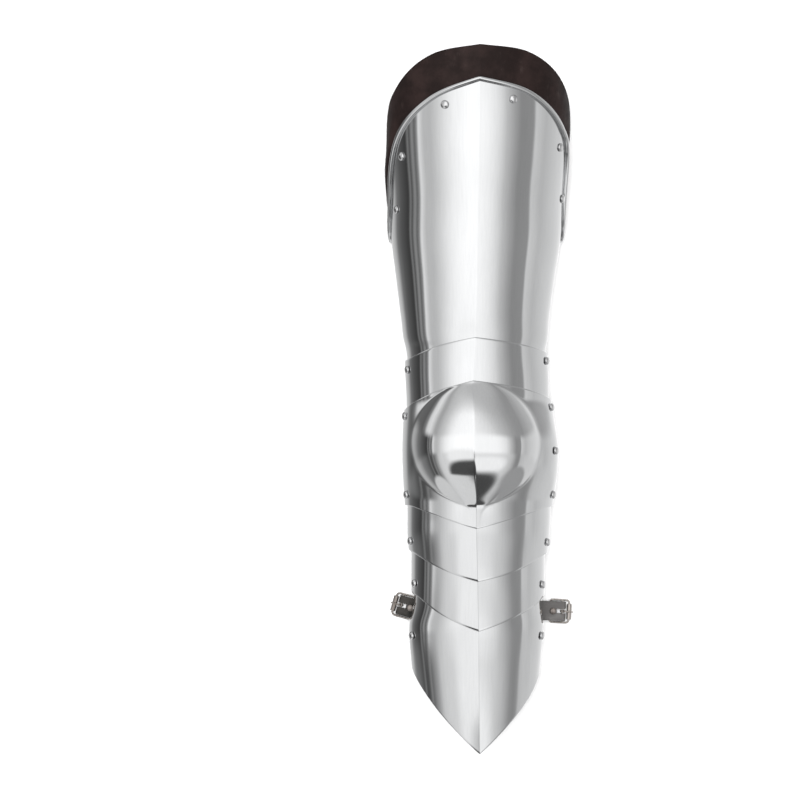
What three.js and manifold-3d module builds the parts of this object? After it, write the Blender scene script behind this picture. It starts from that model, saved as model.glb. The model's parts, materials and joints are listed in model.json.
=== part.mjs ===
// A plate leg harness for one leg: thigh plate with a rolled rim and a leather tab, a domed knee plate
// between three narrow lames, and a pointed shin plate with two strap stubs that end in roller buckles.
// Millimetres. The harness lies on the rear edges of its plates: +Z is the front of the leg, +Y the thigh
// end and +X the outer side of the leg. Heights are above the surface that it lies on, and while the
// plates are drawn, y is 0 at the middle of the knee and x is 0 beside the ridge. The last lines move the
// origin to the middle of the footprint.
import * as THREE from "three";
import { mergeVertices } from "three/addons/utils/BufferGeometryUtils.js";
import Module from "manifold-3d";

// Driving dimensions
const STEEL = 1.2; // sheet thickness
const CLEAR = 0.3; // running gap between pieces that touch
const TAB_INSET = 2; // from the thigh plate's outer face to the tab's
const LEATHER = 2.4; // thickness of the thigh tab
const STRAP = 2.0; // thickness of a strap
const STRAP_WIDTH = 18.6;
const STRAP_GAP = 0.8; // between a strap and the wall that it lies against
const RIM_RADIUS = 2.3; // rolled edge of the thigh plate
const RIM_STAND = 1.3; // how far the roll's middle stands outside the plate's outer face
const PIVOT_Z = 36; // height of the knee pivots
const SHIN_PIVOT_Z = 34; // height of the two pivots nearest to the shin
const FLOOR_GAP = 0.1; // what lies under the plates stays this far above the surface
const ARC_SHARE = 0.8; // share of a half section that is the arc from ridge to flank; the rest is side wall
const FULLNESS = 2.2; // exponent of the section's arc: 2 is an ellipse, more is boxier
const TUCK = 1.5; // how far a side wall's rear edge leans inwards

const RIVET = { head: 4, rise: 2.4, shank: 1.5, tail: 3, tailRise: 1, sides: 8 };
const STRAP_RIVET = { head: 3.3, rise: 1.8, shank: 1.1, tail: 1.3, tailRise: 0.1, sides: 8 };
const HOLE_PLAY = 0.6; // a rivet hole's radius over the shank's
const PIVOT_PLAY = 0.4; // what a pivot rivet's tail has left over, so that the plate under it can turn
const LEAN = 0.4; // how far a rivet's flat seat stands off a wall that curves under it
// barZ is the height of the buckle's bars, reach how far the outer bar lies beyond the centre bar
const BUCKLE = { wire: 0.9, length: 20.8, width: 23.6, corner: 3, barZ: 3.3, reach: 6.4 };
const ROLLER = { radius: 2.4, bore: 1.3, endGap: 0.4 };
// rise is how far the tongue's middle stands over the centre bar; the strap's slot leaves the loop room to
// turn
const PRONG = { loop: 2.2, bore: 1.25, width: 2.4, thick: 1.4, start: -0.3, end: 10.3, rise: 3.4 };
const SLOT = { length: 11.4, width: 4.4 };
// The end that folds back under a strap, and its rivet's distance from the centre bar
const FOLD = { back: 12.2, rivet: 9.2, steps: 6 };

const COLOURS = { steel: 0xb9bbbe, leather: 0x2c2423, strap: 0x33302f, brightSteel: 0xc9cbcd };

// Each plate has its sections from the thigh end to the shin end. inner and outer are the distances of the
// two flanks from x = 0, ridgeX and ridgeZ place the ridge, flankZ is the height of the widest point,
// rearZ that of the rear edge, and keel is the part of the height that rises in straight lines to the
// ridge.
const THIGH_SECTIONS = [
  { y: 392, inner: 85.2, outer: 91.2, ridgeX: 2.2, ridgeZ: 97.5, flankZ: 17, rearZ: 0, keel: 13 },
  { y: 311, inner: 86, outer: 91, ridgeX: 1.4, ridgeZ: 94.5, flankZ: 17, rearZ: 0, keel: 13 },
  { y: 280, inner: 84.2, outer: 88.4, ridgeX: 1, ridgeZ: 92.5, flankZ: 17, rearZ: 0, keel: 13 },
  { y: 242, inner: 81.2, outer: 84.4, ridgeX: 0.4, ridgeZ: 90, flankZ: 17, rearZ: 0, keel: 13 },
  { y: 203, inner: 80.1, outer: 82, ridgeX: -0.1, ridgeZ: 87, flankZ: 17, rearZ: 0, keel: 13 },
  { y: 165, inner: 75.6, outer: 76.2, ridgeX: -0.6, ridgeZ: 83.3, flankZ: 18, rearZ: 0, keel: 12 },
  { y: 126, inner: 70.8, outer: 70.9, ridgeX: -1.3, ridgeZ: 79, flankZ: 20, rearZ: 0, keel: 11 },
  { y: 108, inner: 68.6, outer: 69.6, ridgeX: -1.9, ridgeZ: 76.6, flankZ: 20, rearZ: 0.4, keel: 10 },
  { y: 96, inner: 65.8, outer: 67.4, ridgeX: -2.3, ridgeZ: 75.2, flankZ: 20, rearZ: 1.5, keel: 10 },
  { y: 66, inner: 64.2, outer: 67.4, ridgeX: -3.1, ridgeZ: 73.2, flankZ: 20, rearZ: 4, keel: 9 },
];
const UPPER_LAME_SECTIONS = [
  { y: 112, inner: 67.6, outer: 69.6, ridgeX: -1.8, ridgeZ: 79.2, flankZ: 20, rearZ: 3, keel: 10 },
  { y: 90, inner: 67.4, outer: 69.7, ridgeX: -2.6, ridgeZ: 77.6, flankZ: 20, rearZ: 1, keel: 10 },
  { y: 72, inner: 66.9, outer: 70.6, ridgeX: -3.6, ridgeZ: 76.4, flankZ: 20, rearZ: 0, keel: 10 },
  { y: 52, inner: 65.8, outer: 70.7, ridgeX: -3.9, ridgeZ: 75.2, flankZ: 20, rearZ: 0, keel: 10 },
  { y: 26, inner: 65.2, outer: 71, ridgeX: -3.9, ridgeZ: 73.6, flankZ: 20, rearZ: 2, keel: 9 },
];
const KNEE_SECTIONS = [
  { y: 70, inner: 67.2, outer: 73, ridgeX: -3.8, ridgeZ: 78.6, flankZ: 20, rearZ: 2, keel: 11 },
  { y: 49, inner: 67.4, outer: 73.4, ridgeX: -3.9, ridgeZ: 79.6, flankZ: 20, rearZ: 1, keel: 11 },
  { y: 34, inner: 68.6, outer: 75.3, ridgeX: -3.9, ridgeZ: 80.2, flankZ: 20, rearZ: 0, keel: 11 },
  { y: 3, inner: 69.8, outer: 79.2, ridgeX: -3.5, ridgeZ: 80.6, flankZ: 20, rearZ: 0, keel: 11 },
  { y: -20, inner: 69.3, outer: 78.7, ridgeX: -2.2, ridgeZ: 80.2, flankZ: 20, rearZ: 0, keel: 11 },
  { y: -51, inner: 67.4, outer: 74.6, ridgeX: -0.8, ridgeZ: 78.6, flankZ: 20, rearZ: 1, keel: 11 },
  { y: -74, inner: 66.4, outer: 72.6, ridgeX: -0.8, ridgeZ: 76.6, flankZ: 20, rearZ: 2, keel: 10 },
];
const LOWER_LAME_1_SECTIONS = [
  { y: -30, inner: 64.6, outer: 71.8, ridgeX: -0.9, ridgeZ: 73.8, flankZ: 19, rearZ: 3, keel: 9 },
  { y: -62, inner: 64.8, outer: 72.2, ridgeX: -0.7, ridgeZ: 74, flankZ: 19, rearZ: 0, keel: 10 },
  { y: -78, inner: 64.8, outer: 71.5, ridgeX: -0.4, ridgeZ: 74, flankZ: 19, rearZ: 0, keel: 10 },
  { y: -105, inner: 62.9, outer: 69, ridgeX: 0.3, ridgeZ: 73, flankZ: 19, rearZ: 1, keel: 10 },
  { y: -126, inner: 62.2, outer: 68.4, ridgeX: 0.9, ridgeZ: 71.6, flankZ: 19, rearZ: 3, keel: 10 },
];
const LOWER_LAME_2_SECTIONS = [
  { y: -74, inner: 60.5, outer: 66.8, ridgeX: -0.4, ridgeZ: 70.4, flankZ: 19, rearZ: 3, keel: 9 },
  { y: -104, inner: 61, outer: 66.7, ridgeX: 0.3, ridgeZ: 70.2, flankZ: 19, rearZ: 0, keel: 10 },
  { y: -128, inner: 61.1, outer: 66.4, ridgeX: 0.9, ridgeZ: 69.4, flankZ: 19, rearZ: 0, keel: 10 },
  { y: -150, inner: 61.2, outer: 66, ridgeX: 1.3, ridgeZ: 68.2, flankZ: 19, rearZ: 3, keel: 10 },
  { y: -172, inner: 61.6, outer: 66, ridgeX: 1.7, ridgeZ: 66.6, flankZ: 19, rearZ: 6, keel: 10 },
];
const SHIN_SECTIONS = [
  { y: -114, inner: 58.6, outer: 64.2, ridgeX: 0.5, ridgeZ: 66, flankZ: 18, rearZ: 7.5, keel: 9 },
  { y: -146, inner: 59.2, outer: 64, ridgeX: 1.2, ridgeZ: 65.4, flankZ: 18, rearZ: 8, keel: 10 },
  { y: -164, inner: 62.8, outer: 65.6, ridgeX: 1.6, ridgeZ: 64.6, flankZ: 18, rearZ: 7.4, keel: 10 },
  { y: -177, inner: 63, outer: 65.2, ridgeX: 1.8, ridgeZ: 64, flankZ: 17, rearZ: 0, keel: 10 },
  { y: -202, inner: 61, outer: 63, ridgeX: 2.1, ridgeZ: 62.6, flankZ: 16, rearZ: 0, keel: 10 },
  { y: -240, inner: 57.2, outer: 60.6, ridgeX: 2.6, ridgeZ: 59.4, flankZ: 14, rearZ: 0, keel: 10 },
  { y: -288, inner: 52, outer: 55.4, ridgeX: 3.2, ridgeZ: 54, flankZ: 12, rearZ: 0, keel: 9 },
];

// Where a plate's ends lie along the leg, at the ridge and down each half section: at 30, 60 and 75
// degrees of its arc, at the flank, and at the rear edge.
const EDGE_STOPS = [0, 30, 60, 75, 90].map((degrees) => (ARC_SHARE * degrees) / 90).concat(1);
const EDGES = {
  thigh: {
    head: { inner: [347, 329, 294, 261, 217, 200], outer: [347, 335, 306, 283, 217, 200] },
    foot: { inner: [85, 84, 76, 71, 71, 73], outer: [85, 86, 83, 79, 79, 81] },
  },
  upperLame: {
    head: { inner: [108, 100.5, 91, 88, 87, 82], outer: [108, 103, 97.5, 95, 92, 84] },
    foot: { inner: [42, 40, 30, 27, 27, 30], outer: [42, 42, 38, 35, 35, 38] },
  },
  knee: {
    head: { inner: [67.5, 58, 47, 42, 39, 34], outer: [67.5, 62, 54.5, 51, 49, 44] },
    foot: { inner: [-71, -60, -52, -51, -51, -48], outer: [-71, -60.5, -53, -52, -51, -48] },
  },
  lowerLame1: {
    head: { inner: [-43, -42, -35, -33, -33, -36], outer: [-43, -42, -35, -33, -33, -36] },
    foot: { inner: [-121, -110, -98, -95, -93, -89], outer: [-121, -112, -100, -97, -95, -90] },
  },
  lowerLame2: {
    head: { inner: [-87, -85, -79, -77, -77, -80], outer: [-87, -85, -80, -78, -78, -81] },
    foot: { inner: [-168, -154, -139, -136, -134, -129], outer: [-168, -156, -144, -139, -135, -130] },
  },
  shin: {
    head: { inner: [-128, -126, -120, -118, -118, -121], outer: [-128, -126, -121, -119, -119, -122] },
    foot: { inner: [-285, -254, -225, -214, -206, -197], outer: [-285, -256, -228, -216, -208, -199] },
  },
  tab: {
    head: { inner: [379, 371, 345, 323, 262, 247], outer: [379, 373.5, 351, 331, 294, 276] },
    foot: { inner: [317, 299, 264, 231, 192, 176], outer: [317, 305, 276, 253, 192, 176] },
  },
};

// Beyond the thigh plate's head the tab flares by this much over this length. Its inner lower corner stands
// out by corner more, below cornerY and over cornerLength.
const FLARE = { out: 2.5, length: 35, corner: 3.4, cornerY: 265, cornerLength: 35 };

// The knee plate's dome: where its middle lies, its half axes, how far it stands out of the plate, how
// flat it is across the leg and how soft its foot is. Between the dome's ends the section's arc is also
// boxier.
const DOME = { x: -1, y: 9, halfX: 60, halfY: 57, rise: 18, flatness: 3, soft: 0.1 };
const BOXY = { fullness: 0.8, y: 3, halfY: 50 };

// A pivot's two rivets, on the inner and the outer wall, share one axis.
const PIVOTS = [
  { name: "thigh_pivot", innerY: 78.1, outerY: 86.7, z: PIVOT_Z, over: "upperLame", under: "thigh" },
  { name: "upper_knee_pivot", innerY: 34, outerY: 42.7, z: PIVOT_Z, over: "knee", under: "upperLame" },
  { name: "lower_knee_pivot", innerY: -40.7, outerY: -40.7, z: PIVOT_Z, over: "knee", under: "lowerLame1" },
  { name: "lame_pivot", innerY: -85, outerY: -86, z: SHIN_PIVOT_Z, over: "lowerLame1", under: "lowerLame2" },
  { name: "shin_pivot", innerY: -125.2, outerY: -126.2, z: SHIN_PIVOT_Z, over: "lowerLame2", under: "shin" },
];
const TAB_RIVETS = [
  { name: "tab_rivet_1", x: -30.4, y: 324 },
  { name: "tab_rivet_2", x: 33.1, y: 329 },
  { name: "tab_rivet_3", x: -70.6, y: 279 },
  { name: "tab_rivet_4", x: 79.2, y: 288 },
  { name: "tab_rivet_5", x: -75.3, y: 230 },
  { name: "tab_rivet_6", x: 82, y: 241 },
];
// Where a strap lies inside the wall: how far below its stub's middle, how high, and how far off the wall
const STRAP_INSIDE = [
  { y: -23, z: 38, in: 0.2 },
  { y: -23, z: 30, in: 0.2 },
  { y: -22, z: 22, in: 0 },
  { y: -12, z: 14, in: 0.6 },
  { y: -2, z: 9.6, in: 2.4 },
];
// Where it bends out under the rear edge: how far out from its last point inside, how high, and its slope
const STRAP_BEND = [
  { out: 0.5, z: 7.2, thickOut: 0.9, thickUp: 0.6 },
  { out: 2.4, z: 5.8, thickOut: 0.35, thickUp: 1 },
];
const STRAP_STRAIGHT = 5; // where the straight part of a stub starts, out from its last point inside
const KNEE_SIDE_RIVET = { y: 1.5, z: 47 };
// The rivet that holds a strap inside the shin plate's wall, and what it grips under the wall's outer face
const STRAP_HOLD = { y: -175.5, z: 30, under: 5.8 };

// The two strap stubs. side is -1 for the inner one; reach is how far its centre bar lies from x = 0,
// edgeY where its middle leaves the plate, and turn its slant in degrees towards the thigh.
const STUBS = [
  { name: "outer", side: 1, reach: 84.8, edgeY: -153.5, turn: -3 },
  { name: "inner", side: -1, reach: 71, edgeY: -152.5, turn: 16 },
];

const wasm = await Module();
wasm.setup();

const radians = (degrees) => (degrees * Math.PI) / 180;

// A smooth curve through the values at rising stops: cubic pieces whose slopes follow the neighbouring
// points.
function smooth(stops, values, at) {
  const last = stops.length - 1;
  let i = 0;
  while (i < last - 1 && at > stops[i + 1]) i += 1;
  const chord = (k) => (values[k + 1] - values[k]) / (stops[k + 1] - stops[k]);
  const slope = (k) => (k === 0 ? chord(0) : k === last ? chord(last - 1) : (chord(k - 1) + chord(k)) / 2);
  const span = stops[i + 1] - stops[i];
  const s = (at - stops[i]) / span;
  const h = s * s * (3 - 2 * s);
  return (
    values[i] * (1 - h) +
    values[i + 1] * h +
    span * slope(i) * s * (1 - s) * (1 - s) +
    span * slope(i + 1) * s * s * (s - 1)
  );
}

function sectionAt(sections, y) {
  const stops = sections.map((row) => -row.y);
  const row = {};
  for (const column of Object.keys(sections[0])) {
    row[column] = smooth(stops, sections.map((each) => each[column]), -y);
  }
  return row;
}

// A value's positive part, with a soft bend at 0
function softPart(value) {
  return (value + Math.hypot(value, DOME.soft)) / 2;
}

// A point of a plate. turn is -1 at the inner rear edge, 0 at the ridge and 1 at the outer rear edge;
// inset is the depth under the outer face.
function platePoint(plate, turn, y, inset) {
  const row = sectionAt(plate.sections, y);
  const side = turn < 0 ? -1 : 1;
  const half = (side < 0 ? row.inner + row.ridgeX : row.outer - row.ridgeX) - inset;
  const rise = row.ridgeZ - row.flankZ - inset;
  const share = Math.abs(turn) / ARC_SHARE;
  if (share > 1) {
    const down = (Math.abs(turn) - ARC_SHARE) / (1 - ARC_SHARE);
    const z = row.flankZ + (Math.max(0, row.rearZ) - row.flankZ) * down;
    return new THREE.Vector3(row.ridgeX + side * (half - TUCK * down * down), y, z);
  }
  const boxy = plate.dome ? BOXY.fullness * Math.max(0, 1 - ((y - BOXY.y) / BOXY.halfY) ** 2) ** 2 : 0;
  const power = 2 / (FULLNESS + boxy);
  const across = Math.sin((share * Math.PI) / 2) ** power;
  const up = Math.max(0, Math.cos((share * Math.PI) / 2)) ** power;
  const point = new THREE.Vector3(
    row.ridgeX + side * half * across,
    y,
    row.flankZ + (rise - row.keel) * up + row.keel * (1 - across),
  );
  if (plate.dome) {
    const along = softPart(1 - ((y - DOME.y) / DOME.halfY) ** 2);
    const beside = ((point.x - DOME.x) / DOME.halfX) ** 2 / along;
    point.z += DOME.rise * along * softPart(1 - Math.min(4, beside) ** DOME.flatness);
  }
  return point;
}

// The turn at which a plate's outer face reaches the given x or z on one side.
function turnAt(plate, side, y, axis, value) {
  let low = 0;
  let high = axis === "z" ? 1 : ARC_SHARE;
  for (let step = 0; step < 40; step += 1) {
    const middle = (low + high) / 2;
    const point = platePoint(plate, side * middle, y, 0);
    const beyond = axis === "z" ? point.z < value : side * point.x > side * value;
    if (beyond) high = middle;
    else low = middle;
  }
  return (side * (low + high)) / 2;
}

function plateNormal(plate, turn, y) {
  const step = 0.01;
  const along = platePoint(plate, turn, y + 1, 0).sub(platePoint(plate, turn, y - 1, 0));
  const round = platePoint(plate, turn + step, y, 0).sub(platePoint(plate, turn - step, y, 0));
  const normal = along.cross(round).normalize();
  const outwards = platePoint(plate, turn, y, 0);
  return normal.dot(new THREE.Vector3(outwards.x, 0, outwards.z)) < 0 ? normal.negate() : normal;
}

function edgeAt(edge, turn) {
  return smooth(EDGE_STOPS, turn < 0 ? edge.inner : edge.outer, Math.abs(turn));
}

function geometryFrom(vertices, triangles) {
  const geometry = new THREE.BufferGeometry();
  geometry.setAttribute("position", new THREE.Float32BufferAttribute(vertices, 3));
  geometry.setIndex(triangles);
  return geometry;
}

// A closed sheet over a grid of points: face(i, j, depth) gives the outer face at depth 0 and the inner at
// 1.
function sheetGeometry(columns, rows, face) {
  const vertices = [];
  for (const depth of [0, 1]) {
    for (let i = 0; i <= columns; i += 1) {
      for (let j = 0; j <= rows; j += 1) vertices.push(...face(i, j, depth).toArray());
    }
  }
  const id = (i, j, depth) => depth * (columns + 1) * (rows + 1) + i * (rows + 1) + j;
  const triangles = [];
  const quad = (a, b, c, d) => triangles.push(a, b, c, a, c, d);
  for (let i = 0; i < columns; i += 1) {
    for (let j = 0; j < rows; j += 1) {
      quad(id(i, j, 0), id(i + 1, j, 0), id(i + 1, j + 1, 0), id(i, j + 1, 0));
      quad(id(i, j, 1), id(i, j + 1, 1), id(i + 1, j + 1, 1), id(i + 1, j, 1));
    }
    quad(id(i, 0, 0), id(i, 0, 1), id(i + 1, 0, 1), id(i + 1, 0, 0));
    quad(id(i, rows, 0), id(i + 1, rows, 0), id(i + 1, rows, 1), id(i, rows, 1));
  }
  for (let j = 0; j < rows; j += 1) {
    quad(id(0, j, 0), id(0, j + 1, 0), id(0, j + 1, 1), id(0, j, 1));
    quad(id(columns, j, 0), id(columns, j, 1), id(columns, j + 1, 1), id(columns, j + 1, 0));
  }
  return geometryFrom(vertices, triangles);
}

// A soft step from 0 to 1
function eased(value) {
  const share = Math.min(1, Math.max(0, value));
  return share * share * (3 - 2 * share);
}

// How far the leather tab stands out towards its free edge
function flareAt(turn, y) {
  const beyond = eased((y - edgeAt(EDGES.thigh.head, turn)) / FLARE.length);
  const low = Math.min(1, Math.max(0, -turn) / ARC_SHARE) ** 4;
  const corner = FLARE.corner * low * (1 - eased((y - FLARE.cornerY) / FLARE.cornerLength));
  return beyond * (FLARE.out + corner);
}

function plateGeometry(plate) {
  const { edges, outerInset, thickness, columns, rows, flared } = plate;
  return sheetGeometry(columns, rows, (i, j, depth) => {
    const turn = (2 * i) / columns - 1;
    const foot = edgeAt(edges.foot, turn);
    const y = foot + ((edgeAt(edges.head, turn) - foot) * j) / rows;
    const flare = flared ? flareAt(turn, y) : 0;
    return platePoint(plate, turn, y, outerInset - flare + depth * thickness);
  });
}

function solid(geometry) {
  const bare = new THREE.BufferGeometry();
  bare.setAttribute("position", geometry.getAttribute("position"));
  if (geometry.index) bare.setIndex(geometry.index);
  const merged = mergeVertices(bare, 1e-4);
  return new wasm.Manifold(
    new wasm.Mesh({
      numProp: 3,
      vertProperties: new Float32Array(merged.attributes.position.array),
      triVerts: new Uint32Array(merged.index.array),
    }),
  );
}

function shown(made) {
  const mesh = made.getMesh();
  return geometryFrom(Array.from(mesh.vertProperties), Array.from(mesh.triVerts));
}

// Turns a geometry that was made along +Y so that it runs along a direction, then moves it.
function aimed(geometry, direction, place) {
  const turn = new THREE.Quaternion().setFromUnitVectors(new THREE.Vector3(0, 1, 0), direction);
  return geometry.applyQuaternion(turn).translate(place.x, place.y, place.z);
}

// A domed rivet along +Y: its head stands on y = 0 and its tail closes under the grip.
function rivetGeometry(size, grip) {
  const profile = [
    [0, -grip - size.tailRise],
    [size.tail, -grip],
    [size.shank, -grip],
    [size.shank, 0],
    [size.head, 0],
    [size.head * 0.82, size.rise * 0.55],
    [size.head * 0.42, size.rise * 0.93],
    [0, size.rise],
  ].map(([r, y]) => new THREE.Vector2(r, y));
  return new THREE.LatheGeometry(profile, size.sides);
}

const HOLE_DEPTH = 12;
function holeAt(size, direction, place, play = 0) {
  const radius = size.shank + HOLE_PLAY + play;
  return solid(aimed(new THREE.CylinderGeometry(radius, radius, HOLE_DEPTH, 8), direction, place));
}

const material = {
  steel: new THREE.MeshStandardMaterial({ color: COLOURS.steel, roughness: 0.22, metalness: 1 }),
  brightSteel: new THREE.MeshStandardMaterial({ color: COLOURS.brightSteel, roughness: 0.2, metalness: 1 }),
  leather: new THREE.MeshStandardMaterial({ color: COLOURS.leather, roughness: 0.55, metalness: 0 }),
  strap: new THREE.MeshStandardMaterial({ color: COLOURS.strap, roughness: 0.6, metalness: 0 }),
};
const harness = new THREE.Group();
function addPiece(name, geometry, finish) {
  const mesh = new THREE.Mesh(geometry, finish.clone());
  mesh.name = name;
  harness.add(mesh);
  return mesh;
}

const steelPlate = (name, sections, edges, rows, dome = false) => ({
  name, sections, edges, rows, dome, columns: 24, outerInset: 0, thickness: STEEL,
});
const PLATES = {
  thigh: steelPlate("thigh_plate", THIGH_SECTIONS, EDGES.thigh, 8),
  upperLame: steelPlate("upper_lame", UPPER_LAME_SECTIONS, EDGES.upperLame, 4),
  knee: steelPlate("knee_plate", KNEE_SECTIONS, EDGES.knee, 12, true),
  lowerLame1: steelPlate("lower_lame_1", LOWER_LAME_1_SECTIONS, EDGES.lowerLame1, 4),
  lowerLame2: steelPlate("lower_lame_2", LOWER_LAME_2_SECTIONS, EDGES.lowerLame2, 4),
  shin: steelPlate("shin_plate", SHIN_SECTIONS, EDGES.shin, 7),
};
const TAB = {
  ...PLATES.thigh, name: "thigh_tab", edges: EDGES.tab, rows: 5, outerInset: TAB_INSET,
  thickness: LEATHER, flared: true,
};

// Rolled rim along the thigh plate's head, from floor to floor
function rimSolid() {
  const steps = 28;
  const points = [];
  for (let i = 0; i <= steps; i += 1) {
    const turn = 0.96 * ((2 * i) / steps - 1);
    points.push(platePoint(PLATES.thigh, turn, edgeAt(EDGES.thigh.head, turn), -RIM_STAND));
  }
  const ring = new THREE.Shape().absarc(0, 0, RIM_RADIUS, 0, 2 * Math.PI);
  const path = new THREE.CatmullRomCurve3(points);
  return solid(new THREE.ExtrudeGeometry(ring, { steps, curveSegments: 4, extrudePath: path }));
}

const holes = Object.fromEntries([...Object.keys(PLATES), "tab"].map((key) => [key, []]));

// Pivot rivets: both stand on the plate that lies outside, and their axis is the line between the two
// walls
for (const pivot of PIVOTS) {
  const over = PLATES[pivot.over];
  const ends = [-1, 1].map((side) => {
    const y = side < 0 ? pivot.innerY : pivot.outerY;
    return platePoint(over, turnAt(over, side, y, "z", pivot.z), y, 0);
  });
  [-1, 1].forEach((side, end) => {
    const wall = ends[end];
    const under = PLATES[pivot.under];
    const underTurn = turnAt(under, side, wall.y, "z", pivot.z);
    const direction = plateNormal(over, turnAt(over, side, wall.y, "z", pivot.z), wall.y)
      .add(plateNormal(under, underTurn, wall.y))
      .normalize();
    const inner = platePoint(under, underTurn, wall.y, STEEL);
    const grip = wall.clone().sub(inner).dot(direction) + 2 * (CLEAR + LEAN) + PIVOT_PLAY;
    const seat = wall.clone().addScaledVector(direction, CLEAR + LEAN);
    const name = pivot.name + (side < 0 ? "_inner" : "_outer");
    addPiece(name, aimed(rivetGeometry(RIVET, grip), direction, seat), material.brightSteel);
    holes[pivot.over].push(holeAt(RIVET, direction, wall));
    holes[pivot.under].push(holeAt(RIVET, direction, wall, PIVOT_PLAY));
  });
}

// Rivets that hold the leather tab under the thigh plate
for (const rivet of TAB_RIVETS) {
  const side = Math.sign(rivet.x);
  const turn = turnAt(PLATES.thigh, side, rivet.y, "x", rivet.x);
  const direction = plateNormal(PLATES.thigh, turn, rivet.y);
  const face = platePoint(PLATES.thigh, turn, rivet.y, 0);
  const grip = TAB_INSET + LEATHER + 2 * (CLEAR + LEAN);
  const seat = face.clone().addScaledVector(direction, CLEAR);
  addPiece(rivet.name, aimed(rivetGeometry(RIVET, grip), direction, seat), material.brightSteel);
  const hole = holeAt(RIVET, direction, face);
  holes.thigh.push(hole);
  holes.tab.push(hole);
}

// A rivet across a side wall at a given height, with a given thickness under the outer face
function wallRivet(name, key, side, y, z, under) {
  const plate = PLATES[key];
  const turn = turnAt(plate, side, y, "z", z);
  const wall = platePoint(plate, turn, y, 0);
  const direction = plateNormal(plate, turn, y);
  const seat = wall.clone().addScaledVector(direction, CLEAR + LEAN);
  const rivet = rivetGeometry(RIVET, under + 2 * (CLEAR + LEAN));
  addPiece(name, aimed(rivet, direction, seat), material.brightSteel);
  const hole = holeAt(RIVET, direction, wall);
  holes[key].push(hole);
  return hole;
}
wallRivet("knee_side_rivet", "knee", 1, KNEE_SIDE_RIVET.y, KNEE_SIDE_RIVET.z, STEEL);

// A strip of leather of even thickness along a path. Each step holds the strip's middle, the direction
// across it and the direction that it is thick in.
function stripSolid(path, thickness, width) {
  return solid(
    sheetGeometry(1, path.length - 1, (i, j, depth) => {
      const { middle, across, thick } = path[j];
      return middle
        .clone()
        .addScaledVector(across, width * (i - 0.5))
        .addScaledVector(thick, thickness * (0.5 - depth));
    }),
  );
}

// The path of one strap stub: from the rivet that holds it inside the shin plate's wall it runs down to
// the rear edge, bends out under it, passes over the buckle and folds back round the buckle's centre bar.
function strapPath(stub) {
  const { side, edgeY } = stub;
  const shin = PLATES.shin;
  const insideOf = (middle, z) => {
    const walls = [middle - STRAP_WIDTH / 2, middle + STRAP_WIDTH / 2].map((y) =>
      Math.abs(platePoint(shin, turnAt(shin, side, y, "z", z), y, STEEL).x),
    );
    return Math.min(...walls) - STRAP_GAP - STRAP / 2;
  };
  const turn = radians(stub.turn);
  const path = [];
  const put = (x, y, z, across, thickOut, thickUp) => {
    const thick = new THREE.Vector3(side * Math.cos(turn) * thickOut, Math.sin(turn) * thickOut, thickUp);
    path.push({ middle: new THREE.Vector3(side * x, y, z), across, thick: thick.normalize() });
  };
  const square = new THREE.Vector3(0, -side, 0);
  for (const { y, z, in: inwards } of STRAP_INSIDE) {
    put(insideOf(edgeY + y, z) - inwards, edgeY + y, z, square, 1, 0);
  }
  const last = Math.abs(path[path.length - 1].middle.x);
  for (const { out, z, thickOut, thickUp } of STRAP_BEND) {
    put(last + out, edgeY, z, square, thickOut, thickUp);
  }
  const across = new THREE.Vector3(Math.sin(turn), -side * Math.cos(turn), 0);
  const straight = last + STRAP_STRAIGHT;
  const reach = (stub.reach - straight) / Math.cos(turn);
  const outAt = (s, z, thickOut, thickUp) =>
    put(straight + s * Math.cos(turn), edgeY + s * Math.sin(turn), z, across, thickOut, thickUp);
  const radius = BUCKLE.barZ - FLOOR_GAP - STRAP / 2;
  outAt(0, BUCKLE.barZ + radius, 0, 1);
  for (let i = 0; i <= FOLD.steps; i += 1) {
    const out = Math.sin((Math.PI * i) / FOLD.steps);
    const high = Math.cos((Math.PI * i) / FOLD.steps);
    outAt(reach + radius * out, BUCKLE.barZ + radius * high, out, high);
  }
  outAt(reach - FOLD.back, BUCKLE.barZ - radius, 0, -1);
  const barMiddle = new THREE.Vector3(side * stub.reach, edgeY + reach * Math.sin(turn), BUCKLE.barZ);
  const inwards = new THREE.Vector3(-side * Math.cos(turn), -Math.sin(turn), 0);
  return { path, barMiddle, inwards, topFace: BUCKLE.barZ + radius + STRAP / 2 };
}

// A bar of the prong's width: its length along x and height along z, and where its middle lies
function boxSolid(length, height, x, z) {
  return solid(new THREE.BoxGeometry(length, PRONG.width, height).translate(x, 0, z));
}

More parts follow.
